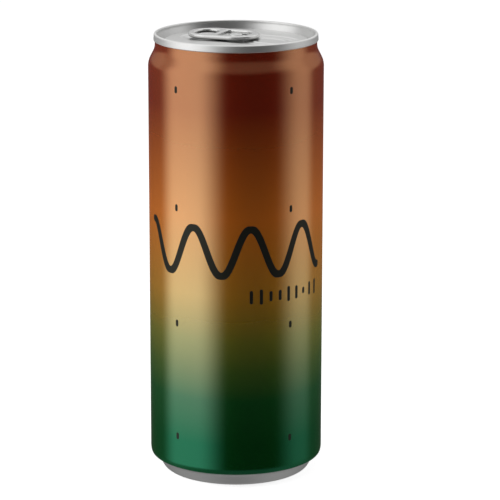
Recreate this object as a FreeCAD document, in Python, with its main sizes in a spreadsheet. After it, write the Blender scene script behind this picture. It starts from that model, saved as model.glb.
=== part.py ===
"""A slim 330 ml drink can, shut, as three pieces: the drawn body, the seamed end and its stay-on tab.

Millimetres. The origin is the centre of the stand ring's plane, +Z is up through the end, and +X
runs from the rivet over the tab's nose to the pour opening.
"""
import FreeCAD, Part
import math
import os
import re
import Sketcher

SIZES = {
    # body
    "body_dia": 57.0,
    "total_high": 146.0,
    "neck_inset": 2.22,
    "neck_drop": 4.84,
    "neck_slope": 27.2,
    "neck_round": 5.46,
    "shoulder_round": 6.45,
    # base: stand ring, bead side, chime, knuckle and dome
    "stand_inset": 5.68,
    "stand_flat": 0.5,
    "nose_round": 1.98,
    "bead_slope": 60.8,
    "heel_inset": 2.09,
    "heel_round": 2.1,
    "chime_slope": 15.0,
    "knuckle_inset": 0.28,
    "knuckle_round": 1.3,
    "foot_rise": 1.75,
    "foot_round": 5.0,
    "leg_round": 1.4,
    "leg_lean": 0.4,
    "leg_high": 3.6,
    "dome_deep": 9.6,
    "dome_round": 1.2,
    # double seam, chuck wall and countersink
    "seam_lap": 0.43,
    "seam_thick": 1.15,
    "seam_deep": 2.4,
    "seam_round": 0.3,
    "crown_round": 0.5,
    "rim_drop": 0.8,
    "chuck_drop": 1.0,
    "chuck_slope": 19.3,
    "chuck_round": 1.0,
    "sink_deep": 1.6,
    "sink_wide": 0.8,
    "sink_round": 0.35,
    "lid_sheet": 0.3,
    # panel, with its keyhole recess, pour opening and finger well
    "panel_drop": 2.5,
    "panel_round": 0.4,
    "recess_deep": 0.3,
    "recess_round": 0.12,
    "recess_margin": 1.5,
    "recess_edge": 1.0,
    "tail_round": 8.8,
    "tail_margin": 0.7,
    "pour_long": 17.0,
    "pour_wide": 14.6,
    "pour_round": 6.6,
    "pour_margin": 3.6,
    "score_wide": 0.45,
    "score_deep": 0.15,
    "bead_inset": 2.4,
    "bead_wide": 1.1,
    "bead_high": 0.25,
    "well_wide": 9.0,
    "well_deep": 0.5,
    "well_slope": 1.6,
    "well_inset": 2.2,
    # rivet
    "boss_dia": 6.4,
    "boss_spread": 1.6,
    "boss_round": 0.5,
    "shank_dia": 3.0,
    "rivet_gap": 0.05,
    "head_dia": 4.4,
    "head_thick": 0.35,
    "head_round": 0.3,
    # tab
    "tab_drop": 0.2,
    "tab_thick": 1.2,
    "tab_wide": 16.0,
    "heel_reach": 16.2,
    "nose_reach": 7.8,
    "nose_wide": 15.2,
    "hem_round": 0.55,
    "hem_wide": 1.8,
    "nose_land": 3.2,
    "cross_bar": 1.6,
    "hollow_over": 0.45,
    "hollow_under": 0.35,
    "hollow_front": 4.6,
    "hollow_back": 1.2,
    "hole_long": 7.0,
    "hole_wide": 10.0,
    "hole_round": 3.2,
    "hole_margin": 2.5,
    "lip_round": 0.35,
    "slot_dia": 8.0,
    "slot_wide": 0.8,
    "slot_half": 105.0,
}

# Worked out from the sizes above. On the end and the tab, a drop is a depth below the crown.
PLACES = {
    "wall_r": "body_dia / 2",
    "neck_r": "wall_r - neck_inset",
    "neck_z": "total_high - neck_drop",
    "shoulder_z": "neck_z - neck_inset / tan(neck_slope * 1deg)",
    "stand_r": "wall_r - stand_inset",
    "bead_foot_r": "stand_r + nose_round * tan(bead_slope * 0.5deg)",
    "heel_r": "wall_r - heel_inset",
    "heel_z": "(heel_r - bead_foot_r) * tan(bead_slope * 1deg)",
    "knuckle_r": "wall_r - knuckle_inset",
    "knuckle_z": "heel_z + (knuckle_r - heel_r) * tan(chime_slope * 1deg)",
    "foot_z": "knuckle_z + foot_rise",
    "leg_r": "stand_r - stand_flat - leg_round",
    "dome_r": "leg_r - leg_lean",
    "seam_out_r": "neck_r + seam_lap",
    "seam_in_r": "seam_out_r - seam_thick",
    "rim_in_r": "seam_in_r + lid_sheet",
    "sink_drop": "panel_drop + sink_deep",
    "sink_out_r": "seam_in_r - (sink_drop - chuck_drop) * tan(chuck_slope * 1deg)",
    "panel_r": "sink_out_r - sink_wide",
    "under_drop": "sink_drop + lid_sheet",
    "under_r": "sink_out_r + lid_sheet",
    "floor_drop": "panel_drop + recess_deep",
    "pour_tip": "panel_r - pour_margin",
    "pour_x": "pour_tip - pour_long / 2",
    "recess_r": "pour_long / 2 + recess_margin",
    "well_x": "well_inset - heel_reach",
    "tail_x": "tail_round - min(well_wide / 2 - well_x + tail_margin; panel_r - recess_edge)",
    "tab_low": "tab_drop + tab_thick",
    "web_low": "tab_low - hollow_under",
    "web_high": "tab_drop + hollow_over",
    "head_drop": "web_high - head_thick",
    "hole_back": "hole_margin - heel_reach",
    "hole_front": "hole_back + hole_long",
    "web_back": "hole_front + cross_bar",
    "web_front": "nose_reach - nose_land",
    "web_side": "nose_wide / 2 - hem_wide",
}
TOUCH = 1e-6  # points nearer than this are one point
NEAR = 1e-3  # an edge this near to its place is the edge meant

doc = FreeCAD.newDocument("DrinkCan")
sheet = doc.addObject("Spreadsheet::Sheet", "Sizes")
for row, (alias, number) in enumerate(SIZES.items(), start=1):
    sheet.set(f"A{row}", alias)
    sheet.set(f"B{row}", str(number))
    sheet.setAlias(f"B{row}", alias)
doc.recompute()


def bound(text):
    """An expression in words, written out in terms of the sheet's cells."""
    def cell(match):
        word = match.group(0)
        return f"({bound(PLACES[word])})" if word in PLACES else f"Sizes.{word}"
    return re.sub(r"[a-z]+(?:_[a-z]+)+", cell, text)


def worth(text):
    """The number that an expression in words comes to now."""
    found = sheet.evalExpression(bound(text))
    return getattr(found, "Value", found)


def new_sketch(body, name, plane, lift="0", shift="0"):
    """An empty sketch on one of the body's origin planes, lifted off it and shifted along it."""
    sketch = body.newObject("Sketcher::SketchObject", name)
    flat = next(item for item in body.Origin.OriginFeatures if item.Role == plane)
    sketch.AttachmentSupport = [(flat, "")]
    sketch.MapMode = "FlatFace"
    sketch.setExpression("AttachmentOffset.Base.x", bound(shift))
    sketch.setExpression("AttachmentOffset.Base.z", bound(lift))
    return sketch


def hold(sketch, kind, geometry, text, point=None):
    """A dimension bound to an expression; a coordinate of 0 becomes a point on the axis."""
    if point is not None and text == "0":
        axis = -2 if kind == "DistanceX" else -1
        sketch.addConstraint(Sketcher.Constraint("PointOnObject", geometry, point, axis))
        return
    place = (geometry,) if point is None else (-1, 1, geometry, point)
    index = sketch.addConstraint(Sketcher.Constraint(kind, *place, worth(text)))
    sketch.setExpression(f"Constraints[{index}]", bound(text))


def pin(sketch, geometry, point, x, y):
    """Fixes a point of the sketch at two expressions."""
    hold(sketch, "DistanceX", geometry, x, point)
    hold(sketch, "DistanceY", geometry, y, point)


def rounded_corner(before, spot, after, radius):
    """Where a round of this radius starts and ends on the two sides of a corner, and its arc."""
    back = (before - spot).normalize()
    on = (after - spot).normalize()
    half = back.getAngle(on) / 2
    start = spot + back * (radius / math.tan(half))
    end = spot + on * (radius / math.tan(half))
    middle = spot + (back + on).normalize() * (radius / math.sin(half))
    apex = middle + (spot - middle).normalize() * radius
    ends = (start, end) if on.cross(back).z > 0 else (end, start)
    return start, end, Part.Arc(ends[0], apex, ends[1])


def draw_outline(sketch, corners):
    """A closed outline through corners (x, y) or (x, y, round), each a bound expression.

    A rounded corner keeps its sharp point as construction, which the two sides run through.
    """
    spots = [FreeCAD.Vector(worth(corner[0]), worth(corner[1]), 0) for corner in corners]
    count = len(corners)
    turns = []
    for i, corner in enumerate(corners):
        if len(corner) == 2:
            turns.append((spots[i], spots[i], None))
        else:
            turns.append(rounded_corner(spots[i - 1], spots[i], spots[(i + 1) % count], worth(corner[2])))
    sides = []
    for i in range(count):
        side = Part.LineSegment(turns[i][1], turns[(i + 1) % count][0])
        sides.append(sketch.addGeometry(side, False))
    for i, corner in enumerate(corners):
        before, after = sides[i - 1], sides[i]
        start, _, arc = turns[i]
        if arc is None:
            sketch.addConstraint(Sketcher.Constraint("Coincident", before, 2, after, 1))
            pin(sketch, after, 1, corner[0], corner[1])
            continue
        bend = sketch.addGeometry(arc, False)
        sharp = sketch.addGeometry(Part.Point(spots[i]), True)
        first = 1 if (sketch.Geometry[bend].StartPoint - start).Length < TOUCH else 2
        sketch.addConstraint(Sketcher.Constraint("Tangent", before, 2, bend, first))
        sketch.addConstraint(Sketcher.Constraint("Tangent", after, 1, bend, 3 - first))
        sketch.addConstraint(Sketcher.Constraint("PointOnObject", sharp, 1, before))
        sketch.addConstraint(Sketcher.Constraint("PointOnObject", sharp, 1, after))
        pin(sketch, sharp, 1, corner[0], corner[1])
        hold(sketch, "Radius", bend, corner[2])


def draw_capsule(sketch, left, left_round, right, right_round):
    """Two round ends on the X axis, of any two radii, joined by their tangents."""
    ends = [(worth(left), worth(left_round)), (worth(right), worth(right_round))]
    lean = math.acos((ends[0][1] - ends[1][1]) / (ends[1][0] - ends[0][0]))
    spans = [(lean, 2 * math.pi - lean), (-lean, lean)]
    arcs = []
    for (centre, radius), (start, end) in zip(ends, spans):
        circle = Part.Circle(FreeCAD.Vector(centre, 0, 0), FreeCAD.Vector(0, 0, 1), radius)
        arcs.append(sketch.addGeometry(Part.ArcOfCircle(circle, start, end), False))
    heel, nose = (sketch.Geometry[arc] for arc in arcs)
    upper = sketch.addGeometry(Part.LineSegment(nose.EndPoint, heel.StartPoint), False)
    lower = sketch.addGeometry(Part.LineSegment(heel.EndPoint, nose.StartPoint), False)
    for arc, arc_end, line, line_end in (
        (arcs[1], 2, upper, 1), (arcs[0], 1, upper, 2), (arcs[0], 2, lower, 1), (arcs[1], 1, lower, 2),
    ):
        sketch.addConstraint(Sketcher.Constraint("Tangent", arc, arc_end, line, line_end))
    for arc, centre, radius in ((arcs[0], left, left_round), (arcs[1], right, right_round)):
        pin(sketch, arc, 3, centre, "0")
        hold(sketch, "Radius", arc, radius)


def draw_hoop(sketch, radius, half_turn, wide):
    """A slot of this width about the origin, open towards +X, this many degrees each way from -X."""
    reach, breadth, turn = worth(radius), worth(wide), math.radians(worth(half_turn))
    sides = []
    for side in (reach + breadth / 2, reach - breadth / 2):
        circle = Part.Circle(FreeCAD.Vector(0, 0, 0), FreeCAD.Vector(0, 0, 1), side)
        arc = Part.ArcOfCircle(circle, math.pi - turn, math.pi + turn)
        sides.append(sketch.addGeometry(arc, False))
    outer, inner = sides
    ends = []
    for point, away in ((1, 1), (2, -1)):
        outer_end = sketch.getPoint(outer, point)
        inner_end = sketch.getPoint(inner, point)
        middle = (outer_end + inner_end) / 2
        bulge = FreeCAD.Vector(outer_end.y, -outer_end.x, 0).normalize() * (away * breadth / 2)
        cap = Part.Arc(outer_end, middle + bulge, inner_end)
        ends.append(sketch.addGeometry(cap, False))
    for cap, point in zip(ends, (1, 2)):
        near = 1 if (sketch.getPoint(cap, 1) - sketch.getPoint(outer, point)).Length < TOUCH else 2
        sketch.addConstraint(Sketcher.Constraint("Tangent", outer, point, cap, near))
        sketch.addConstraint(Sketcher.Constraint("Tangent", inner, point, cap, 3 - near))
    sketch.addConstraint(Sketcher.Constraint("Coincident", outer, 3, -1, 1))
    sketch.addConstraint(Sketcher.Constraint("Coincident", inner, 3, -1, 1))
    hold(sketch, "Radius", outer, f"{radius} + {wide} / 2")
    hold(sketch, "Radius", inner, f"{radius} - {wide} / 2")
    rise = f"{radius} * sin({half_turn} * 1deg)"
    hold(sketch, "DistanceY", ends[0], rise, 3)
    hold(sketch, "DistanceY", ends[1], f"-{rise}", 3)


def turned(body, kind, name, sketch):
    """A revolution or a groove of a sketch, all the way round the sketch's upright axis."""
    feature = body.newObject(f"PartDesign::{kind}", name)
    feature.Profile = sketch
    feature.ReferenceAxis = (sketch, ["V_Axis"])
    feature.Angle = 360
    doc.recompute()
    return feature


def raised(body, kind, name, sketch, tall, both=False):
    """A pad or a pocket of a flat sketch; a pad rises and a pocket cuts down, unless both ways."""
    feature = body.newObject(f"PartDesign::{kind}", name)
    feature.Profile = sketch
    feature.setExpression("Length", bound(tall))
    feature.Midplane = both
    doc.recompute()
    return feature


def eased(body, name, base, edges, radius):
    """A fillet of the edges of the last feature."""
    feature = body.newObject("PartDesign::Fillet", name)
    feature.Base = (base, edges)
    feature.setExpression("Radius", bound(radius))
    doc.recompute()
    return feature


def rings(feature, spots):
    """Names of the feature's full circles that have one of these radii and heights."""
    wanted = [(worth(radius), worth(high)) for radius, high in spots]
    found = []
    for number, edge in enumerate(feature.Shape.Edges, start=1):
        mark = (edge.Length / (2 * math.pi), edge.CenterOfMass.z)
        if any(math.dist(mark, want) < NEAR for want in wanted):
            found.append(f"Edge{number}")
    return found


def level_edges(feature, *heights, within=None):
    """Names of the feature's edges that lie flat at one of the heights, in a box of X and Y."""
    levels = [worth(high) for high in heights]
    found = []
    for number, edge in enumerate(feature.Shape.Edges, start=1):
        box = edge.BoundBox
        flat = box.ZLength < NEAR and any(abs(box.ZMin - level) < NEAR for level in levels)
        if flat and (within is None or within.isInside(box)):
            found.append(f"Edge{number}")
    return found


def body_top(base):
    """The meeting face of body and end, from the neck inwards, with the base plane this far down."""
    return [
        ("neck_r", f"{base} - rim_drop"),
        ("rim_in_r", f"{base} - rim_drop"),
        ("rim_in_r", f"{base} - chuck_drop"),
        ("under_r", f"{base} - under_drop"),
        ("0", f"{base} - under_drop"),
    ]


def make_can_body():
    """The drawn and ironed body with what fills it: necked at the top, domed at the base."""
    body = doc.addObject("PartDesign::Body", "can_body")
    outline = new_sketch(body, "BodyOutline", "XZ_Plane")
    draw_outline(outline, [
        ("0", "0"),
        ("bead_foot_r", "0", "nose_round"),
        ("heel_r", "heel_z", "heel_round"),
        ("knuckle_r", "knuckle_z", "knuckle_round"),
        ("wall_r", "foot_z", "foot_round"),
        ("wall_r", "shoulder_z", "shoulder_round"),
        ("neck_r", "neck_z", "neck_round"),
    ] + body_top("total_high"))
    turned(body, "Revolution", "BodyWall", outline)

    dome = new_sketch(body, "DomeOutline", "XZ_Plane")
    foot, side, apex = (FreeCAD.Vector(worth(x), worth(y), 0) for x, y in
                        (("leg_r", "0"), ("dome_r", "leg_high"), ("0", "dome_deep")))
    floor_line = dome.addGeometry(Part.LineSegment(FreeCAD.Vector(), foot), False)
    leg_line = dome.addGeometry(Part.LineSegment(foot, side), False)
    rise = apex.y - side.y
    reach = (side.x ** 2 + rise ** 2) / (2 * rise)
    circle = Part.Circle(FreeCAD.Vector(0, apex.y - reach, 0), FreeCAD.Vector(0, 0, 1), reach)
    cap = Part.ArcOfCircle(circle, math.acos(side.x / reach), math.pi / 2)
    dome_arc = dome.addGeometry(cap, False)
    axis_line = dome.addGeometry(Part.LineSegment(apex, FreeCAD.Vector()), False)
    chain = ((floor_line, 2, leg_line, 1), (leg_line, 2, dome_arc, 1), (dome_arc, 2, axis_line, 1),
             (axis_line, 2, floor_line, 1))
    for first, first_end, second, second_end in chain:
        dome.addConstraint(Sketcher.Constraint("Coincident", first, first_end, second, second_end))
    pin(dome, floor_line, 1, "0", "0")
    pin(dome, leg_line, 1, "leg_r", "0")
    pin(dome, leg_line, 2, "dome_r", "leg_high")
    pin(dome, axis_line, 1, "0", "dome_deep")
    dome.addConstraint(Sketcher.Constraint("PointOnObject", dome_arc, 3, -2))
    hollow = turned(body, "Groove", "BaseDome", dome)
    stand = eased(body, "StandRing", hollow, rings(hollow, [("leg_r", "0")]), "leg_round")
    eased(body, "DomeEdge", stand, rings(stand, [("dome_r", "leg_high")]), "dome_round")
    return body


def horseshoe(inset, wide):
    """A band that follows the pour opening's outline, this far inside it, open under the tab."""
    corners = []
    for way, offset in ((1, inset), (-1, f"{inset} + {wide}")):
        tip = f"pour_tip - ({offset})"
        side = f"(pour_wide / 2 - ({offset}))"
        bend = f"pour_round - ({offset})"
        half = [("pour_x - pour_long / 4", f"-{side}"), (tip, f"-{side}", bend),
                (tip, side, bend), ("pour_x - pour_long / 4", side)]
        corners += half[::way]
    return corners


def make_can_end():
    """The end: double seam, chuck wall, countersink and panel, drawn down from its crown."""
    body = doc.addObject("PartDesign::Body", "can_end")
    outline = new_sketch(body, "EndOutline", "XZ_Plane")
    draw_outline(outline, body_top("0")[::-1] + [
        ("neck_r", "-seam_deep"),
        ("seam_out_r", "-seam_deep", "seam_round"),
        ("seam_out_r", "0", "crown_round"),
        ("seam_in_r", "0", "crown_round"),
        ("seam_in_r", "-chuck_drop", "chuck_round"),
        ("sink_out_r", "-sink_drop", "sink_round"),
        ("panel_r", "-sink_drop", "sink_round"),
        ("panel_r", "-panel_drop", "panel_round"),
        ("0", "-panel_drop"),
    ])
    turned(body, "Revolution", "EndSheet", outline)

    keyhole = new_sketch(body, "RecessOutline", "XY_Plane", lift="-panel_drop")
    draw_capsule(keyhole, "tail_x", "tail_round", "pour_x", "recess_r")
    recess = raised(body, "Pocket", "Recess", keyhole, "recess_deep")
    inner = FreeCAD.BoundBox(-worth("panel_r") + 1, -worth("panel_r") + 1, -100,
                             worth("panel_r") - 1, worth("panel_r") - 1, 100)
    recess = eased(body, "RecessEdge", recess,
                   level_edges(recess, "-panel_drop", "-floor_drop", within=inner), "recess_round")

    score = new_sketch(body, "ScoreOutline", "XY_Plane", lift="-floor_drop")
    draw_outline(score, horseshoe("0", "score_wide"))
    raised(body, "Pocket", "Score", score, "score_deep")

    bead = new_sketch(body, "BeadOutline", "XY_Plane", lift="-floor_drop")
    draw_outline(bead, horseshoe("bead_inset", "bead_wide"))
    raised(body, "Pad", "TearBead", bead, "bead_high")

    well = new_sketch(body, "WellOutline", "XZ_Plane", shift="well_x")
    draw_outline(well, [
        ("0", "-floor_drop - well_deep"),
        ("well_wide / 2 - well_slope", "-floor_drop - well_deep", "well_slope"),
        ("well_wide / 2", "-floor_drop"),
        ("well_wide / 2", "-panel_drop"),
        ("0", "-panel_drop"),
    ])
    turned(body, "Groove", "FingerWell", well)

    rivet = new_sketch(body, "RivetOutline", "XZ_Plane")
    draw_outline(rivet, [
        ("0", "-sink_drop"),
        ("boss_dia / 2 + boss_spread", "-sink_drop"),
        ("boss_dia / 2 + boss_spread", "-floor_drop"),
        ("boss_dia / 2", "-web_low", "boss_round"),
        ("shank_dia / 2", "-web_low"),
        ("shank_dia / 2", "-web_high"),
        ("head_dia / 2", "-web_high"),
        ("head_dia / 2", "-head_drop", "head_round"),
        ("0", "-head_drop"),
    ])
    turned(body, "Revolution", "Rivet", rivet)
    body.setExpression("Placement.Base.z", bound("total_high"))
    return body


def make_pull_tab():
    """The stay-on tab: a hemmed plate with a finger hole, its web held by the rivet."""
    body = doc.addObject("PartDesign::Body", "pull_tab")
    plate = new_sketch(body, "TabOutline", "XY_Plane", lift="-tab_low")
    draw_capsule(plate, "tab_wide / 2 - heel_reach", "tab_wide / 2",
                 "nose_reach - nose_wide / 2", "nose_wide / 2")
    blank = raised(body, "Pad", "TabBlank", plate, "tab_thick")

    hole = new_sketch(body, "FingerHoleOutline", "XY_Plane", lift="-tab_drop")
    draw_outline(hole, [
        ("hole_back", "-hole_wide / 2", "hole_round"),
        ("hole_front", "-hole_wide / 2", "hole_round"),
        ("hole_front", "hole_wide / 2", "hole_round"),
        ("hole_back", "hole_wide / 2", "hole_round"),
    ])
    blank = raised(body, "Pocket", "FingerHole", hole, "tab_thick")
    lips = FreeCAD.BoundBox(worth("hole_back") - 0.1, -worth("hole_wide") / 2 - 0.1, -100,
                            worth("hole_front") + 0.1, worth("hole_wide") / 2 + 0.1, 100)
    hole_edges = level_edges(blank, "-tab_drop", "-tab_low", within=lips)
    all_edges = level_edges(blank, "-tab_drop", "-tab_low")
    hem_edges = [edge for edge in all_edges if edge not in hole_edges]
    hem = eased(body, "Hem", blank, hem_edges, "hem_round")
    hole_edges = level_edges(hem, "-tab_drop", "-tab_low", within=lips)
    eased(body, "FingerLip", hem, hole_edges, "lip_round")

    web = [
        ("web_back", "-web_side", "hollow_back"),
        ("web_front", "-web_side", "hollow_front"),
        ("web_front", "web_side", "hollow_front"),
        ("web_back", "web_side", "hollow_back"),
    ]
    over = new_sketch(body, "WebOver", "XY_Plane", lift="-tab_drop")
    draw_outline(over, web)
    raised(body, "Pocket", "HollowOver", over, "hollow_over")
    under = new_sketch(body, "WebUnder", "XY_Plane", lift="-web_low")
    draw_outline(under, web)
    raised(body, "Pocket", "HollowUnder", under, "hollow_under")

    slot = new_sketch(body, "TongueSlot", "XY_Plane", lift="-tab_drop")
    draw_hoop(slot, "slot_dia / 2", "slot_half", "slot_wide")
    raised(body, "Pocket", "Tongue", slot, "tab_thick")

    eye = new_sketch(body, "RivetEye", "XY_Plane", lift="-tab_drop")
    circle = eye.addGeometry(Part.Circle(FreeCAD.Vector(), FreeCAD.Vector(0, 0, 1), 1), False)
    eye.addConstraint(Sketcher.Constraint("Coincident", circle, 3, -1, 1))
    hold(eye, "Radius", circle, "shank_dia / 2 + rivet_gap")
    raised(body, "Pocket", "Eye", eye, "tab_thick")
    body.setExpression("Placement.Base.z", bound("total_high"))
    return body


pieces = [make_can_body(), make_can_end(), make_pull_tab()]
doc.recompute()

for item in doc.Objects:
    if {"Invalid", "Error"} & set(item.State):
        raise RuntimeError(f"{item.Name} failed: {item.State}")
    if item.isDerivedFrom("Sketcher::SketchObject") and not item.FullyConstrained:
        raise RuntimeError(f"{item.Name} is not fully constrained")

os.makedirs("parts", exist_ok=True)
for piece in pieces:
    shape = piece.Shape
    if shape.isNull() or not shape.isValid() or len(shape.Solids) != 1:
        raise RuntimeError(f"{piece.Label} is not one valid solid")
    shape.exportStep(f"parts/{piece.Label}.step")
    print(f"{piece.Label}: {shape.Volume:.1f} mm3")
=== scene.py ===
"""A slim drink can: satin metallic print over aluminium, bare seamed end with a stay-on tab."""
import math
import bmesh
import bpy
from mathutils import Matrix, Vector


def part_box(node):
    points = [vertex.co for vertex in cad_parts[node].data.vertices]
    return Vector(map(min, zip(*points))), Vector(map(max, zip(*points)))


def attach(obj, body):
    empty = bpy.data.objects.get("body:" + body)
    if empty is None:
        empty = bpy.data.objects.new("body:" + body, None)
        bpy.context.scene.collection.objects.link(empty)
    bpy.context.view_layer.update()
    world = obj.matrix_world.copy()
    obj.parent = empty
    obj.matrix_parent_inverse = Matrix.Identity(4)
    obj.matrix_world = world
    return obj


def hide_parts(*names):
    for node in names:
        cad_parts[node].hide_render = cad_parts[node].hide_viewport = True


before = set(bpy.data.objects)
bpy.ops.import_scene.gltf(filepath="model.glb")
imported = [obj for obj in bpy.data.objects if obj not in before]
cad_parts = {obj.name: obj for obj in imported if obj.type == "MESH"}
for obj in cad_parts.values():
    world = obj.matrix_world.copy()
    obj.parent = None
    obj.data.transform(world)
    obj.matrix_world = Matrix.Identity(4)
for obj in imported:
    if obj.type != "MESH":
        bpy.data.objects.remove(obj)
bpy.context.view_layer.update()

MM = 0.001
DEG = math.pi / 180

# ---------------------------------------------------------------- sizes, in millimetres
body_low, body_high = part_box("can_body")
end_low, end_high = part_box("can_end")
tab_low, tab_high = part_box("pull_tab")

WALL_R = (body_high.x - body_low.x) / 2 / MM
CROWN_Z = end_high.z / MM
SEAM_OUT_R = (end_high.x - end_low.x) / 2 / MM
TAB_TOP = tab_high.z / MM
TAB_LOW = tab_low.z / MM
HEEL_REACH = -tab_low.x / MM
NOSE_REACH = tab_high.x / MM
TAB_WIDE = (tab_high.y - tab_low.y) / MM

# neck and base of the drawn body
NECK_R = WALL_R - 2.22
NECK_Z = CROWN_Z - 4.84
NECK_SLOPE = 27.2 * DEG
STAND_R = WALL_R - 5.68
NOSE_ROUND = 1.98
BEAD_SLOPE = 60.8 * DEG
CHIME_SLOPE = 15 * DEG
LEG_R = STAND_R - 1.9
LEG_HIGH = 3.6
DOME_HIGH = 9.6
HEEL_INSET = 2.09
KNUCKLE_INSET = 0.28
LEG_ROUND = 1.4
DOME_ROUND = 1.2
HEEL_ROUND = 2.1
KNUCKLE_ROUND = 1.3
FOOT_RISE = 1.75
FOOT_ROUND = 5.0
SHOULDER_ROUND = 6.45
NECK_ROUND = 5.46

# how far the body's rim stands below the seam's crown, and how far it lies under the end's sheet
RIM_DROP = 0.8
LID_SHEET = 0.3

# double seam, chuck wall, countersink and panel of the end
SEAM_THICK = 1.15
SEAM_DEEP = 2.4
SEAM_LEAN = 0.14
SEAM_LOW_ROUND = 0.3
CROWN_ROUND = 0.5
CHUCK_ROUND = 1.0
SINK_ROUND = 0.35
PANEL_ROUND = 0.4
SEAM_IN_R = SEAM_OUT_R - SEAM_THICK
CHUCK_Z = CROWN_Z - 1.0
PANEL_Z = CROWN_Z - 2.5
SINK_Z = PANEL_Z - 1.6
SINK_OUT_R = SEAM_IN_R - (CHUCK_Z - SINK_Z) * math.tan(19.3 * DEG)
PANEL_R = SINK_OUT_R - 0.8
PANEL_FLAT_R = PANEL_R - PANEL_ROUND

# relief of the panel
RECESS_DEEP = 0.3
FLOOR_Z = PANEL_Z - RECESS_DEEP
POUR_LONG = 17.0
POUR_WIDE = 14.6
POUR_ROUND = 6.6
SCORE_WIDE = 0.45
SCORE_DEEP = 0.15
BEAD_HIGH = 0.25
POUR_TIP = PANEL_R - 3.6
POUR_X = POUR_TIP - POUR_LONG / 2
RECESS_R = POUR_LONG / 2 + 1.5
WELL_X = 2.2 - HEEL_REACH
WELL_R = 4.5
WELL_DEEP = 0.5
TAIL_R = 8.8
TAIL_X = TAIL_R - (WELL_R - WELL_X + 0.7)

# rivet and tab; the drink's pressure bulges the panel up to them
BULGE = 0.9
BOSS_R = 3.2
BOSS_SPREAD = 1.6
BOSS_EDGE = 0.9
SHANK_R = 1.5
HEAD_R = 2.1
HEAD_ROUND = 0.4
DIMPLE_R = 0.9
DIMPLE_LOW_R = 0.55
DIMPLE_DEEP = 0.12
WEB_TOP = TAB_TOP - 0.95
WEB_LOW = WEB_TOP - 0.4
HEAD_TOP = WEB_TOP + 0.55
HEM_LOW = TAB_LOW - 0.2
HEM_ROUND = 0.6
NOSE_R = 7.6
SLOT_R = 4.0
SLOT_HALF = 0.75
SLOT_REACH = 105 * DEG
EYE_R = 1.55

# openings of the tab's frame, with their rounds towards the nose and towards the heel
HOLE_BACK = 2.5 - HEEL_REACH
HOLE_FRONT = HOLE_BACK + 7.0
HOLE_HALF = 5.0
HOLE_ROUNDS = (3.2, 3.2)
WEB_BACK = HOLE_FRONT + 1.6
WEB_FRONT = NOSE_REACH - 3.2
WEB_SIDE = NOSE_R - 1.8
WEB_ROUNDS = (4.6, 1.2)

# the web runs on this far into the frame
WEB_TUCK = 0.6
WEB_TUCK_ROUNDS = (5.0, 1.6)
WEB_EDGE = 0.12

# where the camera stands: turned this far from -Y towards +X, and how it is aimed
VIEW_TURN = 22.5 * DEG
CAMERA_AWAY = 823.3
CAMERA_HIGH = 279.1
CAMERA_DOWN = 14.02 * DEG
LENS = 185.27
SENSOR_WIDE = 36
SHIFT_X = 0.028

# the two soft boxes, in metres
BOX_AWAY = 0.9
BOX_WIDE = 0.5
BOX_TALL = 1.4
BOX_MIDDLE_Z = 0.1


# ---------------------------------------------------------------- node trees written as Python
class Worth:
    """One socket's value in a node tree, which the operators of Python work on."""

    def __init__(self, tree, socket):
        self.tree = tree
        self.socket = socket

    def sum_of(self, operation, *others):
        return math_node(self.tree, operation, self, *others)

    def __add__(self, other):
        return self.sum_of("ADD", other)

    def __sub__(self, other):
        return self.sum_of("SUBTRACT", other)

    def __mul__(self, other):
        return self.sum_of("MULTIPLY", other)

    def __truediv__(self, other):
        return self.sum_of("DIVIDE", other)

    def __rsub__(self, other):
        return math_node(self.tree, "SUBTRACT", other, self)

    def __rtruediv__(self, other):
        return math_node(self.tree, "DIVIDE", other, self)

    def __neg__(self):
        return self * -1

    def __abs__(self):
        return self.sum_of("ABSOLUTE")

    __radd__ = __add__
    __rmul__ = __mul__


def plug(tree, socket, value):
    """Links a value into a socket, or writes a plain one there."""
    if isinstance(value, Worth):
        tree.links.new(value.socket, socket)
    elif value is not None:
        socket.default_value = value


def add_node(tree, kind, settings=None, **inputs):
    """A node of a kind: its settings first, then its sockets by name, with _ for a space."""
    node = tree.nodes.new(kind)
    for key, value in (settings or {}).items():
        setattr(node, key, value)
    for key, value in inputs.items():
        plug(tree, node.inputs[key.replace("_", " ")], value)
    return node


def math_node(tree, operation, *values):
    node = add_node(tree, "ShaderNodeMath", {"operation": operation})
    for socket, value in zip(node.inputs, values):
        plug(tree, socket, value)
    return Worth(tree, node.outputs[0])


def low(a, b):
    return a.sum_of("MINIMUM", b)


def high(a, b):
    return a.sum_of("MAXIMUM", b)


def root(a):
    return a.sum_of("SQRT")


def sine(a):
    return a.sum_of("SINE")


def length(a, b):
    return root(a * a + b * b)


def clamp(a):
    return low(high(a, 0.0), 1.0)


def soft_step(a, start, end):
    """0 before start, 1 after end, and a smooth rise between; start may be the larger."""
    reach = clamp((a - start) / (end - start))
    return reach * reach * (3 - 2 * reach)


def pick(mask, a, b):
    """a where the mask is 0 and b where it is 1."""
    return a + mask * (b - a)


def capsule_distance(x, y, left_x, left_r, right_x, right_r):
    """Distance outside two round ends on the X axis joined by their tangents, negative inside."""
    span = right_x - left_x
    lean = (left_r - right_r) / span
    rise = math.sqrt(1 - lean * lean)
    along = x - left_x
    side = abs(y)
    reach = along * rise - side * lean
    left = length(along, side) - left_r
    right = length(along - span, side) - right_r
    flank = side * rise + along * lean - left_r
    after_left = reach.sum_of("GREATER_THAN", 0.0)
    after_right = reach.sum_of("GREATER_THAN", rise * span)
    return pick(after_right, pick(after_left, left, flank), right)


def box_distance(x, y, centre_x, half_long, half_wide, rounding):
    """Distance outside a rounded rectangle on the X axis, negative inside."""
    out_x = abs(x - centre_x) - (half_long - rounding)
    out_y = abs(y) - (half_wide - rounding)
    outside = length(high(out_x, 0.0), high(out_y, 0.0))
    return outside + low(high(out_x, out_y), 0.0) - rounding


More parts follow.
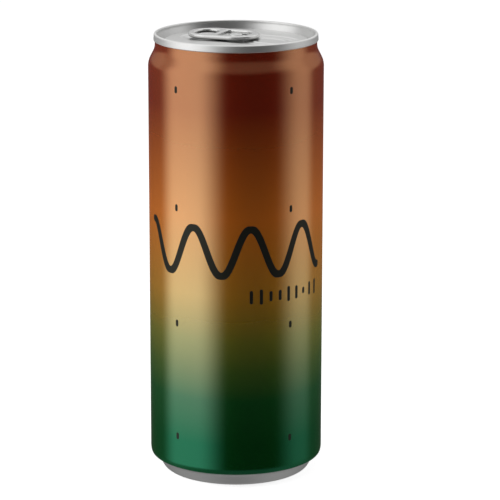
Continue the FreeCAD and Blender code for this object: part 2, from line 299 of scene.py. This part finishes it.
# ---------------------------------------------------------------- outlines, written as Python
def rounded(corners, closed=False, step=7 * DEG):
    """Points along corners (x, y) or (x, y, round), with each round as an arc."""
    spots = [Vector(corner[:2]) for corner in corners]
    points = []
    for i, corner in enumerate(corners):
        if len(corner) == 2 or (not closed and i in (0, len(corners) - 1)):
            points.append(spots[i])
            continue
        back = (spots[i - 1] - spots[i]).normalized()
        on = (spots[(i + 1) % len(spots)] - spots[i]).normalized()
        half = back.angle(on) / 2
        middle = spots[i] + (back + on).normalized() * (corner[2] / math.sin(half))
        start = spots[i] + back * (corner[2] / math.tan(half)) - middle
        turn = math.pi - 2 * half
        if back.x * on.y - back.y * on.x > 0:
            turn = -turn
        count = max(2, math.ceil(abs(turn) / step))
        for k in range(count + 1):
            angle = turn * k / count
            spin = Vector((start.x * math.cos(angle) - start.y * math.sin(angle),
                           start.x * math.sin(angle) + start.y * math.cos(angle)))
            points.append(middle + spin)
    return points


def supported(points, reach=0.12):
    """The points with two more near the ends of each long run, which keep its shading straight."""
    held = [points[0]]
    for start, end in zip(points, points[1:]):
        run = end - start
        if run.length > 5 * reach:
            held += [start + run.normalized() * reach, end - run.normalized() * reach]
        held.append(end)
    return held


def stadium(left_x, left_r, right_x, right_r, steps=48):
    """A closed outline of two round ends on the X axis joined by their tangents."""
    lean = math.acos((left_r - right_r) / (right_x - left_x))
    points = []
    for centre, radius, start, end in ((left_x, left_r, lean, 2 * math.pi - lean),
                                       (right_x, right_r, -lean, lean)):
        for k in range(steps + 1):
            angle = start + (end - start) * k / steps
            points.append(Vector((centre + radius * math.cos(angle), radius * math.sin(angle))))
    return points


# ---------------------------------------------------------------- pieces
def modelled(name, obj, material):
    """The evaluated object as a plain mesh piece of its own, smooth, with the source removed."""
    bpy.context.view_layer.update()
    graph = bpy.context.evaluated_depsgraph_get()
    mesh = bpy.data.meshes.new_from_object(obj.evaluated_get(graph))
    bpy.data.objects.remove(obj)
    mesh.name = name
    piece = bpy.data.objects.new(name, mesh)
    bpy.context.scene.collection.objects.link(piece)
    mesh.materials.clear()
    mesh.materials.append(material)
    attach(piece, "root")
    return piece


def new_tree(name, *inputs):
    """An empty geometry tree with a geometry input and named inputs of (name, type)."""
    tree = bpy.data.node_groups.new(name, "GeometryNodeTree")
    tree.interface.new_socket("Geometry", in_out="INPUT", socket_type="NodeSocketGeometry")
    for label, kind in inputs:
        tree.interface.new_socket(label, in_out="INPUT", socket_type=f"NodeSocket{kind}")
    tree.interface.new_socket("Geometry", in_out="OUTPUT", socket_type="NodeSocketGeometry")
    group = tree.nodes.new("NodeGroupInput")
    return tree, {socket.name: Worth(tree, socket) for socket in group.outputs if socket.name}


def end_tree(tree, geometry, material):
    """The last nodes of every tree: smooth shading, realized instances and the material."""
    smooth = add_node(tree, "GeometryNodeSetShadeSmooth", Geometry=geometry)
    real = add_node(tree, "GeometryNodeRealizeInstances", Geometry=Worth(tree, smooth.outputs[0]))
    paint = add_node(tree, "GeometryNodeSetMaterial", Geometry=Worth(tree, real.outputs[0]),
                     Material=material)
    out = tree.nodes.new("NodeGroupOutput")
    tree.links.new(paint.outputs[0], out.inputs[0])


def with_tree(obj, tree, **values):
    """Adds the tree to the object, with its inputs set by their identifiers."""
    modifier = obj.modifiers.new(tree.name, "NODES")
    modifier.node_group = tree
    names = {item.name: item.identifier for item in tree.interface.items_tree
             if item.in_out == "INPUT"}
    for key, value in values.items():
        modifier[names[key.replace("_", " ")]] = value


def line_object(name, points):
    """An open line of (radius, height) points in millimetres, as a mesh in the XZ plane."""
    mesh = bpy.data.meshes.new(name)
    edges = [(i, i + 1) for i in range(len(points) - 1)]
    mesh.from_pydata([(p.x * MM, 0, p.y * MM) for p in points], edges, [])
    obj = bpy.data.objects.new(name, mesh)
    bpy.context.scene.collection.objects.link(obj)
    return obj


def lathe_tree():
    """Turns a line round the Z axis: copies of it at even angles, skinned by a grid of faces."""
    tree, given = new_tree("Turned round the axis", ("Steps", "Int"), ("Points", "Int"),
                           ("Material", "Material"))
    count = given["Steps"]
    grid = add_node(tree, "GeometryNodeMeshGrid", Size_X=1.0, Size_Y=1.0,
                    Vertices_X=count + 1, Vertices_Y=given["Points"])
    index = Worth(tree, add_node(tree, "GeometryNodeInputIndex").outputs[0])
    column = (index / given["Points"]).sum_of("FLOOR")
    row = index - column * given["Points"]
    angle = column / count * (2 * math.pi)
    place = add_node(tree, "GeometryNodeInputPosition")
    sample = add_node(tree, "GeometryNodeSampleIndex",
                      {"data_type": "FLOAT_VECTOR", "domain": "POINT"},
                      Geometry=given["Geometry"], Index=row)
    tree.links.new(place.outputs[0], sample.inputs["Value"])
    parts = add_node(tree, "ShaderNodeSeparateXYZ", Vector=Worth(tree, sample.outputs[0]))
    radius, tall = Worth(tree, parts.outputs["X"]), Worth(tree, parts.outputs["Z"])
    spot = add_node(tree, "ShaderNodeCombineXYZ", X=radius * angle.sum_of("COSINE"),
                    Y=radius * sine(angle), Z=tall)
    moved = add_node(tree, "GeometryNodeSetPosition", Geometry=Worth(tree, grid.outputs["Mesh"]),
                     Position=Worth(tree, spot.outputs[0]))
    joined = add_node(tree, "GeometryNodeMergeByDistance", Geometry=Worth(tree, moved.outputs[0]),
                      Distance=1e-6)
    end_tree(tree, Worth(tree, joined.outputs[0]), given["Material"])
    return tree


LATHE = lathe_tree()


def turned(name, corners, material, steps=192, step=7 * DEG):
    """A piece turned round the axis from corners (radius, height, round), bottom outside first."""
    points = supported(rounded(corners, step=step))
    line = line_object(name + "_line", points)
    with_tree(line, LATHE, Steps=steps, Points=len(points), Material=material)
    return modelled(name, line, material)


# ---------------------------------------------------------------- materials
def new_material(name):
    """A material with an empty tree, and the point on the piece in millimetres."""
    material = bpy.data.materials.new(name)
    material.use_nodes = True
    tree = material.node_tree
    tree.nodes.clear()
    spot = add_node(tree, "ShaderNodeTexCoord")
    parts = add_node(tree, "ShaderNodeSeparateXYZ", Vector=Worth(tree, spot.outputs["Object"]))
    x, y, z = (Worth(tree, socket) / MM for socket in parts.outputs)
    return material, tree, x, y, z


def end_material(tree, shader):
    out = tree.nodes.new("ShaderNodeOutputMaterial")
    tree.links.new(shader.outputs[0], out.inputs["Surface"])


def vector(tree, x, y, z):
    return Worth(tree, add_node(tree, "ShaderNodeCombineXYZ", X=x, Y=y, Z=z).outputs[0])


def noise(tree, x, y, z, detail=2.0):
    """Noise of about 0 to 1 at a point given in its own grain sizes."""
    node = add_node(tree, "ShaderNodeTexNoise", Vector=vector(tree, x, y, z), Scale=1.0,
                    Detail=detail)
    return Worth(tree, node.outputs["Fac"])


def ramp(tree, reach, stops):
    """Colours along a value from 0 to 1, from (place, colour) stops."""
    node = add_node(tree, "ShaderNodeValToRGB", Fac=reach)
    node.color_ramp.interpolation = "LINEAR"
    for i, (place, colour) in enumerate(stops):
        stop = node.color_ramp.elements[i] if i < 2 else node.color_ramp.elements.new(place)
        stop.position = place
        stop.color = (*colour, 1)
    return Worth(tree, node.outputs["Color"])


def blend_colour(tree, factor, a, b, how="MIX"):
    """Colour a where the factor is 0 and b where it is 1, or another blend of them."""
    node = add_node(tree, "ShaderNodeMix", {"data_type": "RGBA", "blend_type": how})
    for socket, value in zip((node.inputs[0], node.inputs[6], node.inputs[7]), (factor, a, b)):
        plug(tree, socket, (*value, 1) if isinstance(value, tuple) else value)
    return Worth(tree, node.outputs[2])


def grey(tree, value):
    """A number as a colour."""
    node = add_node(tree, "ShaderNodeCombineColor", Red=value, Green=value, Blue=value)
    return Worth(tree, node.outputs[0])


def bump(tree, height, depth, strength=1.0):
    """A normal from a height of 0 to 1 that stands for so many millimetres."""
    node = add_node(tree, "ShaderNodeBump", Strength=strength, Distance=depth * MM, Height=height)
    return Worth(tree, node.outputs[0])


# inks of the print from the base up, each fading into the next: its height, the metal's tint
# through it, and how light its own body is
INK_HEIGHT = 146.0
INKS = (
    (15, (0.04, 0.25, 0.15), 0.06),
    (30, (0.15, 0.30, 0.20), 0.08),
    (40, (0.35, 0.40, 0.25), 0.12),
    (50, (0.50, 0.50, 0.30), 0.18),
    (65, (0.75, 0.65, 0.35), 0.50),
    (90, (0.70, 0.55, 0.30), 0.75),
    (125, (0.70, 0.40, 0.20), 0.25),
)
# a body is the same ink in a thicker layer, seen through so many times over
INK_DEPTH = 6
INK_BODY = 0.5
INK_LOW_Z = 5.05
CHARCOAL = (0.030, 0.030, 0.024)
BARE = (0.80, 0.80, 0.79)

# the wave round the front, in millimetres: its middle height, half height, length and stroke
WAVE_Z = 79.5
WAVE_HIGH = 7.6
WAVE_LONG = 19.0
WAVE_HALF = 1.2
WAVE_END = 1.75 * WAVE_LONG

# the row of bars under the wave, in millimetres: its middle height, pitch, middle round the wall
# and half length, and a bar's half height at its least and how much more it grows to
BARS_Z = 64.8
BAR_PITCH = 3.3
BARS_ASIDE = 18.15
BARS_HALF = 14.85
BAR_LEAST = 0.5
BAR_MORE = 1.5

# the capsule marks: degrees round the wall to the middle of a pair of columns and from there to
# each, then in millimetres the lowest row's height, the rows' pitch and a mark's half length
MARKS_MIDDLE = -2.0
MARKS_ASIDE = 40.0
MARKS_LOW_Z = 16.15
MARKS_PITCH = 38.3
MARK_HALF = 0.6
STROKE_HALF = 0.55

# sizes of the fine grain, the drawing lines and the clouding of the metal, in millimetres
FINE = 0.16
LINE_WIDE = 0.22
LINE_LONG = 45.0
CLOUD_WIDE = 9.0
CLOUD_HIGH = 14.0


def own_body(tint, light):
    """The colour of an ink's own body: its tint deepened, at a lightness of its own."""
    return tuple(light * (part / max(tint)) ** INK_DEPTH for part in tint)


def round_the_wall(x, y):
    """Degrees round the axis from where the print's front faces, rising to its right."""
    ahead = x * math.sin(VIEW_TURN) - y * math.cos(VIEW_TURN)
    aside = x * math.cos(VIEW_TURN) + y * math.sin(VIEW_TURN)
    return aside.sum_of("ARCTAN2", ahead) / DEG


def line_mask(distance, half_wide, soft=0.08):
    """1 within half_wide of a line and 0 outside it."""
    return soft_step(distance, half_wide + soft, half_wide - soft)


def off_nearest(a, start, pitch):
    """How far a value is past the nearest of the places that follow a start at a pitch."""
    return ((a + (pitch / 2 - start)) / pitch).sum_of("FRACT") * pitch - pitch / 2


def printed_metal():
    """Translucent inks over bright metal outside, with bare metal below their lower edge and under
    the dome."""
    material, tree, x, y, z = new_material("printed_metal")
    turn = round_the_wall(x, y)
    around = turn * (WALL_R * DEG)
    reach = z / INK_HEIGHT
    lit = ramp(tree, reach, [(height / INK_HEIGHT, tint) for height, tint, light in INKS])
    shade = ramp(tree, reach, [(height / INK_HEIGHT, own_body(tint, light))
                               for height, tint, light in INKS])

    # a wave round the front, a short row of bars under it, and four rows of capsule marks
    phase = around * (2 * math.pi / WAVE_LONG)
    slope = phase.sum_of("COSINE") * (WAVE_HIGH * 2 * math.pi / WAVE_LONG)
    line = abs(z - WAVE_Z - sine(phase) * WAVE_HIGH) / root(slope * slope + 1.0)
    past = high(abs(around) - WAVE_END, 0.0)
    tip = around / abs(around) * -WAVE_HIGH + WAVE_Z
    wave = line_mask(length(pick(past.sum_of("GREATER_THAN", 0.0), line, z - tip), past), WAVE_HALF)
    place = around / BAR_PITCH
    bar_high = abs(sine(place.sum_of("FLOOR") * 0.9)) * BAR_MORE + BAR_LEAST
    bar = length(place.sum_of("FRACT") * BAR_PITCH - BAR_PITCH / 2,
                 high(abs(z - BARS_Z) - bar_high, 0.0))
    bars = line_mask(bar, STROKE_HALF) * line_mask(abs(around - BARS_ASIDE), BARS_HALF, 0.05)
    column = abs(off_nearest(turn, MARKS_MIDDLE, 180.0)) - MARKS_ASIDE
    row = abs(off_nearest(z, MARKS_LOW_Z, MARKS_PITCH))
    mark = line_mask(length(column * (WALL_R * DEG), high(row - MARK_HALF, 0.0)), STROKE_HALF)
    drawn = clamp(wave + bars + mark)

    fine = noise(tree, x / FINE, y / FINE, z / FINE, 3.0)
    drawn_lines = noise(tree, around / LINE_WIDE, 0.0, z / LINE_LONG, 3.0)
    cloud = noise(tree, x / CLOUD_WIDE, y / CLOUD_WIDE, z / CLOUD_HIGH, 3.0)
    outside = soft_step(length(x, y), LEG_R + 0.4, LEG_R + 1.0)
    inked = soft_step(z + (cloud - 0.5) * 0.25, INK_LOW_Z - 0.1, INK_LOW_Z + 0.1) * outside
    tone = grey(tree, 0.94 + cloud * 0.06 + drawn_lines * 0.06)
    lit = blend_colour(tree, 1.0, blend_colour(tree, drawn, lit, CHARCOAL), tone, "MULTIPLY")
    shade = blend_colour(tree, drawn, shade, CHARCOAL)
    metal = blend_colour(tree, inked, BARE, lit)
    relief = bump(tree, fine * 0.5 + drawn_lines * 0.5 + inked * 3.0, 0.006, 0.5)

    glossy = add_node(tree, "ShaderNodeBsdfPrincipled", Base_Color=metal, Metallic=1.0,
                      Roughness=(pick(inked, 0.34, 0.14 + drawn * 0.15)
                                 + fine * 0.03 + drawn_lines * 0.03),
                      Normal=relief)
    glossy.inputs["Specular Tint"].default_value = (0.55, 0.55, 0.55, 1)
    body = add_node(tree, "ShaderNodeBsdfPrincipled", Base_Color=shade, Metallic=0.5,
                    Roughness=0.55 + fine * 0.05, Normal=relief)
    body.inputs["Specular IOR Level"].default_value = 0.1
    both = add_node(tree, "ShaderNodeMixShader", Fac=inked * INK_BODY)
    tree.links.new(glossy.outputs[0], both.inputs[1])
    tree.links.new(body.outputs[0], both.inputs[2])
    end_material(tree, both)
    return material


def bare_metal(name, across, along, gloss, painted_shade, relief=None):
    """Rolled aluminium: the size of its grain across and along the sheet in millimetres, its
    roughness, the painted shade that darkens its colour where little light gets in, and any fine
    relief of its own."""
    material, tree, x, y, z = new_material(name)
    grain = noise(tree, x / along, y / across, z / across, 3.0)
    fine = noise(tree, x / 0.2, y / 0.2, z / 0.2, 2.0)
    cloud = noise(tree, x / 6.0, y / 6.0, z / 6.0, 3.0)
    seam = soft_step(length(x, y), SEAM_IN_R + 0.3, SEAM_IN_R + 0.7)
    # the colour's tone: random grain and clouding, the painted shade, and a painted sheen that
    # makes the seam ring up to 18 per cent lighter
    tone = (0.93 + grain * 0.09 + cloud * 0.04) * painted_shade(tree, x, y, z) * (1.0 + seam * 0.18)
    colour = blend_colour(tree, 1.0, BARE, grey(tree, tone), "MULTIPLY")
    height = grain * 0.006 + fine * 0.003
    if relief:
        height = height + relief(tree, x, y, z)
    shader = add_node(tree, "ShaderNodeBsdfPrincipled", Base_Color=colour, Metallic=1.0,
                      Roughness=gloss - 0.06 + grain * 0.08 + cloud * 0.04 + seam * 0.13,
                      Normal=bump(tree, height, 1.0))
    end_material(tree, shader)
    return material


def shade_under_the_tab(tree, x, y, z):
    """Painted shade: darker where the tab covers the panel, and clear above it."""
    footprint = capsule_distance(x, y, TAB_WIDE / 2 - HEEL_REACH, TAB_WIDE / 2,
                                 NOSE_REACH - NOSE_R, NOSE_R)
    below = soft_step(z, WEB_TOP - 0.05, WEB_TOP - 0.15)
    return 1.0 - soft_step(footprint, 0.5, -1.4) * below * 0.72


def shade_on_underside(tree, x, y, z):
    """Painted shade: darker where the tab faces down and on the tongue slot's walls, clear
    elsewhere.
    """
    facing = add_node(tree, "ShaderNodeNewGeometry")
    parts = add_node(tree, "ShaderNodeSeparateXYZ", Vector=Worth(tree, facing.outputs["Normal"]))
    up = Worth(tree, parts.outputs["Z"])
    near_slot = soft_step(abs(length(x, y) - SLOT_R), SLOT_HALF + 0.3, SLOT_HALF + 0.1)
    slot = near_slot * soft_step(up, 0.9, 0.3)
    return (1.0 - soft_step(up, 0.1, -0.4) * 0.6) * (1.0 - slot * 0.85)


def score_relief(tree, x, y, z):
    """The score line round the pour opening, open under the tab, in millimetres of height."""
    edge = box_distance(x, y, POUR_X, POUR_LONG / 2, POUR_WIDE / 2, POUR_ROUND)
    groove = line_mask(abs(edge + 0.25), 0.12, 0.1) + line_mask(abs(edge + 1.0), 0.07, 0.07) * 0.5
    flat = soft_step(z, PANEL_Z + 0.2, PANEL_Z + 0.1)
    return groove * flat * soft_step(x, BOSS_R + 0.2, BOSS_R + 0.8) * -0.09


PRINTED = printed_metal()
# the end's colour takes painted shade under the tab, and the tab's takes painted shade where it
# faces down and on its slot's walls
END_METAL = bare_metal("end_metal", 0.35, 14.0, 0.36, shade_under_the_tab, score_relief)
TAB_METAL = bare_metal("tab_metal", 0.3, 9.0, 0.22, shade_on_underside)


# ---------------------------------------------------------------- the drawn body
def dome_line(count=26):
    """Corners down the dome under the can, from its middle to the top of the stand's leg."""
    side = LEG_R - 0.4
    rise = DOME_HIGH - LEG_HIGH
    reach = (side * side + rise * rise) / (2 * rise)
    spread = math.asin(side / reach)
    angles = [spread * k / count for k in range(count)]
    dome = [(reach * math.sin(a), DOME_HIGH - reach * (1 - math.cos(a))) for a in angles]
    return dome + [(side, LEG_HIGH, DOME_ROUND)]


def body_corners():
    bead_foot = STAND_R + NOSE_ROUND * math.tan(BEAD_SLOPE / 2)
    heel_r = WALL_R - HEEL_INSET
    heel_z = (heel_r - bead_foot) * math.tan(BEAD_SLOPE)
    knuckle_r = WALL_R - KNUCKLE_INSET
    knuckle_z = heel_z + (knuckle_r - heel_r) * math.tan(CHIME_SLOPE)
    shoulder_z = NECK_Z - (WALL_R - NECK_R) / math.tan(NECK_SLOPE)
    rim_in_r = SEAM_IN_R + LID_SHEET
    return dome_line() + [
        (LEG_R, 0, LEG_ROUND),
        (bead_foot, 0, NOSE_ROUND),
        (heel_r, heel_z, HEEL_ROUND),
        (knuckle_r, knuckle_z, KNUCKLE_ROUND),
        (WALL_R, knuckle_z + FOOT_RISE, FOOT_ROUND),
        (WALL_R, shoulder_z, SHOULDER_ROUND),
        (NECK_R, NECK_Z, NECK_ROUND),
        (NECK_R, CROWN_Z - RIM_DROP),
        (rim_in_r, CROWN_Z - RIM_DROP),
        (rim_in_r, CHUCK_Z),
        (SINK_OUT_R + LID_SHEET, SINK_Z - LID_SHEET),
        (0, SINK_Z - LID_SHEET),
    ]


can_wall = turned("can_wall", body_corners(), PRINTED, steps=256, step=5 * DEG)


# ---------------------------------------------------------------- the seamed end
def end_corners():
    """Corners of the end from the seam's lower edge over the crown and down to the panel's rim."""
    return [
        (0, SINK_Z - LID_SHEET),
        (SINK_OUT_R + LID_SHEET, SINK_Z - LID_SHEET),
        (NECK_R - LID_SHEET, CROWN_Z - SEAM_DEEP + 0.25),
        (NECK_R, CROWN_Z - SEAM_DEEP),
        (SEAM_OUT_R, CROWN_Z - SEAM_DEEP, SEAM_LOW_ROUND),
        (SEAM_OUT_R - SEAM_LEAN, CROWN_Z, CROWN_ROUND),
        (SEAM_IN_R, CROWN_Z, CROWN_ROUND),
        (SEAM_IN_R, CHUCK_Z, CHUCK_ROUND),
        (SINK_OUT_R, SINK_Z, SINK_ROUND),
        (PANEL_R, SINK_Z, SINK_ROUND),
        (PANEL_R, PANEL_Z, PANEL_ROUND),
        (PANEL_FLAT_R - 0.3, PANEL_Z),
    ]


def panel_tree():
    """Turns a line into the end, then sinks the recess and finger well and lifts the tear bead."""
    tree, given = new_tree("Seamed end", ("Steps", "Int"), ("Points", "Int"),
                           ("Recess deep", "Float"), ("Well deep", "Float"),
                           ("Bead high", "Float"), ("Score deep", "Float"),
                           ("Bulge", "Float"), ("Material", "Material"))
    spun = add_node(tree, "GeometryNodeGroup", {"node_tree": LATHE}, Geometry=given["Geometry"],
                    Steps=given["Steps"], Points=given["Points"], Material=given["Material"])
    place = add_node(tree, "GeometryNodeInputPosition")
    parts = add_node(tree, "ShaderNodeSeparateXYZ", Vector=Worth(tree, place.outputs[0]))
    x, y, z = (Worth(tree, socket) / MM for socket in parts.outputs)
    keyhole = capsule_distance(x, y, TAIL_X, TAIL_R, POUR_X, RECESS_R)
    recess = soft_step(keyhole, 0.15, -0.4) * given["Recess deep"]
    pour = box_distance(x, y, POUR_X, POUR_LONG / 2, POUR_WIDE / 2, POUR_ROUND)
    bead_start = POUR_X - POUR_LONG / 4
    bead = soft_step(abs(pour + 2.95), 0.75, 0.1) * soft_step(x, bead_start - 0.6, bead_start + 0.6)
    groove = soft_step(abs(pour + SCORE_WIDE / 2), SCORE_WIDE, SCORE_WIDE / 8)
    groove = groove * soft_step(x, BOSS_R + 0.2, BOSS_R + 0.8)
    well = soft_step(length(x - WELL_X, y), WELL_R, WELL_R - 2.2)
    inside = soft_step(length(x, y), PANEL_FLAT_R + 0.1, PANEL_FLAT_R)
    inside = inside * z.sum_of("GREATER_THAN", PANEL_Z - 0.05)
    dish = length(x, y) / PANEL_FLAT_R
    bulge = clamp(1.0 - dish * dish) * given["Bulge"]
    relief = bulge + bead * given["Bead high"] - groove * given["Score deep"]
    lift = (relief - recess - well * given["Well deep"]) * inside * MM
    shift = add_node(tree, "ShaderNodeCombineXYZ", X=0.0, Y=0.0, Z=lift)
    moved = add_node(tree, "GeometryNodeSetPosition", Geometry=Worth(tree, spun.outputs[0]),
                     Offset=Worth(tree, shift.outputs[0]))
    end_tree(tree, Worth(tree, moved.outputs[0]), given["Material"])
    return tree


def make_end():
    rows = 106
    flat = PANEL_FLAT_R - 0.3
    points = supported(rounded(end_corners(), step=8 * DEG))
    points += [Vector((flat * (1 - k / rows), PANEL_Z)) for k in range(1, rows + 1)]
    line = line_object("end_line", points)
    with_tree(line, panel_tree(), Steps=480, Points=len(points), Recess_deep=RECESS_DEEP,
              Well_deep=WELL_DEEP, Bead_high=BEAD_HIGH, Score_deep=SCORE_DEEP, Bulge=BULGE,
              Material=END_METAL)
    return modelled("seamed_end", line, END_METAL)


seamed_end = make_end()
rivet = turned("rivet", [
    (0, SINK_Z + 0.4),
    (BOSS_R + BOSS_SPREAD + BOSS_EDGE, SINK_Z + 0.4),
    (BOSS_R + BOSS_SPREAD + BOSS_EDGE, FLOOR_Z + BULGE - 0.3),
    (BOSS_R + BOSS_SPREAD, FLOOR_Z + BULGE - 0.05, 1.0),
    (BOSS_R, WEB_LOW, 0.3),
    (SHANK_R, WEB_LOW),
    (SHANK_R, WEB_TOP),
    (HEAD_R, WEB_TOP, 0.12),
    (HEAD_R, HEAD_TOP, HEAD_ROUND),
    (DIMPLE_R, HEAD_TOP, HEAD_ROUND),
    (DIMPLE_LOW_R, HEAD_TOP - DIMPLE_DEEP, 0.3),
    (0, HEAD_TOP - DIMPLE_DEEP),
], END_METAL, steps=96)


# ---------------------------------------------------------------- the pull tab
def plate(name, loops, low_z, high_z, edge):
    """A flat plate between two heights from closed loops in millimetres, with round edges."""
    curve = bpy.data.curves.new(name, "CURVE")
    curve.dimensions = "2D"
    curve.fill_mode = "BOTH"
    curve.bevel_depth = edge * MM
    curve.bevel_resolution = 5
    curve.offset = -edge * MM
    curve.extrude = ((high_z - low_z) / 2 - edge) * MM
    for loop in loops:
        spline = curve.splines.new("POLY")
        spline.points.add(len(loop) - 1)
        for point, spot in zip(spline.points, loop):
            point.co = (spot.x * MM, spot.y * MM, 0, 1)
        spline.use_cyclic_u = True
    obj = bpy.data.objects.new(name, curve)
    bpy.context.scene.collection.objects.link(obj)
    bpy.context.view_layer.update()
    mesh = bpy.data.meshes.new_from_object(obj)
    bpy.data.objects.remove(obj)
    work = bmesh.new()
    work.from_mesh(mesh)
    bmesh.ops.remove_doubles(work, verts=work.verts, dist=2e-6)
    bmesh.ops.recalc_face_normals(work, faces=work.faces)
    bmesh.ops.translate(work, verts=work.verts, vec=(0, 0, (low_z + high_z) / 2 * MM))
    for face in work.faces:
        face.smooth = True
    work.to_mesh(mesh)
    work.free()
    solid = bpy.data.objects.new(name, mesh)
    bpy.context.scene.collection.objects.link(solid)
    even = solid.modifiers.new("even", "WEIGHTED_NORMAL")
    even.weight = 100
    return modelled(name, solid, TAB_METAL)


def box_loop(x0, x1, half_wide, front_round, back_round):
    """The outline of a box on the X axis, with rounds of one size in front and one behind."""
    corners = [(x0, -half_wide, back_round), (x1, -half_wide, front_round),
               (x1, half_wide, front_round), (x0, half_wide, back_round)]
    return rounded(corners, closed=True, step=5 * DEG)


def round_spot(radius, angle):
    return radius * Vector((math.cos(angle), math.sin(angle)))


def hoop_loop(radius, half_wide, half_turn, steps=48):
    """The outline of a slot along an arc round the rivet, with round ends, open to the heel."""
    turns = [half_turn * (2 * k / steps - 1) for k in range(steps + 1)]
    outer = [round_spot(radius + half_wide, t) for t in turns]
    inner = [round_spot(radius - half_wide, t) for t in turns]
    caps = []
    for t in (half_turn, -half_turn):
        middle = round_spot(radius, t)
        base = t if t > 0 else t + math.pi
        caps.append([middle + round_spot(half_wide, base + math.pi * k / 8) for k in range(1, 8)])
    return outer + caps[0] + inner[::-1] + caps[1]


outline = stadium(TAB_WIDE / 2 - HEEL_REACH, TAB_WIDE / 2, NOSE_REACH - NOSE_R, NOSE_R)
finger_hole = box_loop(HOLE_BACK, HOLE_FRONT, HOLE_HALF, *HOLE_ROUNDS)
web_hole = box_loop(WEB_BACK, WEB_FRONT, WEB_SIDE, *WEB_ROUNDS)
tab_frame = plate("tab_frame", [outline, finger_hole, web_hole], HEM_LOW, TAB_TOP, HEM_ROUND)
web_edge = box_loop(WEB_BACK - WEB_TUCK, WEB_FRONT + WEB_TUCK, WEB_SIDE + WEB_TUCK,
                    *WEB_TUCK_ROUNDS)
slot = hoop_loop(SLOT_R, SLOT_HALF, SLOT_REACH)
eye = [round_spot(EYE_R, k * math.pi / 24) for k in range(48)]
tab_web = plate("tab_web", [web_edge, slot, eye], WEB_LOW, WEB_TOP, WEB_EDGE)

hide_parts("can_body")
for piece in (seamed_end, rivet):
    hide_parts("can_end")
for piece in (tab_frame, tab_web):
    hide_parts("pull_tab")


# ---------------------------------------------------------------- floor, camera and light
def make_floor():
    """A plain white floor that takes a soft shadow and lets glossy and shadow rays through."""
    mesh = bpy.data.meshes.new("floor")
    mesh.from_pydata([(-3, -3, 0), (3, -3, 0), (3, 3, 0), (-3, 3, 0)], [], [(0, 1, 2, 3)])
    floor = bpy.data.objects.new("floor", mesh)
    bpy.context.scene.collection.objects.link(floor)
    material, tree, *_ = new_material("white_floor")
    light = add_node(tree, "ShaderNodeLightPath")
    seen = Worth(tree, light.outputs["Is Camera Ray"])
    felt = Worth(tree, light.outputs["Is Diffuse Ray"])
    matt = add_node(tree, "ShaderNodeBsdfDiffuse", Color=(0.62, 0.62, 0.62, 1))
    glow = add_node(tree, "ShaderNodeEmission", Color=(1, 1, 1, 1), Strength=seen * 0.72)
    both = add_node(tree, "ShaderNodeAddShader")
    tree.links.new(matt.outputs[0], both.inputs[0])
    tree.links.new(glow.outputs[0], both.inputs[1])
    clear = add_node(tree, "ShaderNodeBsdfTransparent")
    mixed = add_node(tree, "ShaderNodeMixShader", Fac=clamp(seen + felt))
    tree.links.new(clear.outputs[0], mixed.inputs[1])
    tree.links.new(both.outputs[0], mixed.inputs[2])
    end_material(tree, mixed)
    mesh.materials.append(material)


def make_camera():
    data = bpy.data.cameras.new("camera")
    data.lens = LENS
    data.sensor_width = SENSOR_WIDE
    data.shift_x = SHIFT_X
    camera = bpy.data.objects.new("camera", data)
    bpy.context.scene.collection.objects.link(camera)
    away = CAMERA_AWAY * MM
    camera.location = (away * math.sin(VIEW_TURN), -away * math.cos(VIEW_TURN), CAMERA_HIGH * MM)
    camera.rotation_euler = (math.pi / 2 - CAMERA_DOWN, 0, VIEW_TURN)
    bpy.context.scene.camera = camera


def soft_light(name, turn, glow):
    """An upright soft box facing the axis, turned this far to the right of the camera."""
    data = bpy.data.lights.new(name, "AREA")
    data.shape = "RECTANGLE"
    data.size = BOX_WIDE
    data.size_y = BOX_TALL
    data.energy = glow * math.pi * BOX_WIDE * BOX_TALL
    light = bpy.data.objects.new(name, data)
    bpy.context.scene.collection.objects.link(light)
    angle = VIEW_TURN + turn * DEG
    light.location = (BOX_AWAY * math.sin(angle), -BOX_AWAY * math.cos(angle), BOX_MIDDLE_Z)
    light.rotation_euler = (math.pi / 2, 0, angle)
    light.visible_glossy = False


def make_world():
    """White to the eye, plain to matt surfaces; metal mirrors a room with two tall soft boxes."""
    world = bpy.data.worlds.new("studio")
    bpy.context.scene.world = world
    world.use_nodes = True
    tree = world.node_tree
    tree.nodes.clear()
    ray = add_node(tree, "ShaderNodeTexCoord")
    parts = add_node(tree, "ShaderNodeSeparateXYZ", Vector=Worth(tree, ray.outputs["Generated"]))
    x, y, z = (Worth(tree, socket) for socket in parts.outputs)
    turn = round_the_wall(x, y)
    floor = 0.175 + soft_step(abs(turn), 30.0, 100.0) * 0.13
    near = 0.006 + soft_step(z, 0.25, 0.66) * 0.11
    far = 0.13 + soft_step(z, -0.05, 0.08) * 0.42 + soft_step(z, 0.25, 0.6) * 0.36
    room = pick(soft_step(abs(turn), 100.0, 125.0), near, far)
    left = soft_step(turn, -120.0, -88.0) * soft_step(turn, -10.0, -54.0)
    right = soft_step(turn, 52.0, 94.0) * soft_step(turn, 126.0, 104.0)
    room = pick(left, pick(right, room, 0.70 - soft_step(z, -0.18, -0.34) * 0.30), 1.15)
    room = pick(soft_step(z, -0.38, -0.52), room, floor)
    room = pick(soft_step(z, 0.75, 0.95), room, 0.8)
    light = add_node(tree, "ShaderNodeLightPath")
    seen = Worth(tree, light.outputs["Is Camera Ray"])
    through = Worth(tree, light.outputs["Is Transmission Ray"])
    plain = clamp(seen + through)
    gloss = Worth(tree, light.outputs["Is Glossy Ray"])
    strength = pick(plain, pick(gloss, 0.45, room), 1.0)
    background = add_node(tree, "ShaderNodeBackground", Color=(1, 1, 1, 1), Strength=strength)
    out = tree.nodes.new("ShaderNodeOutputWorld")
    tree.links.new(background.outputs[0], out.inputs["Surface"])


make_floor()
make_camera()
make_world()
soft_light("left_box", -78, 5.0)
soft_light("right_box", 100, 4.2)
bpy.context.scene.view_settings.view_transform = "Standard"

bpy.context.view_layer.update()
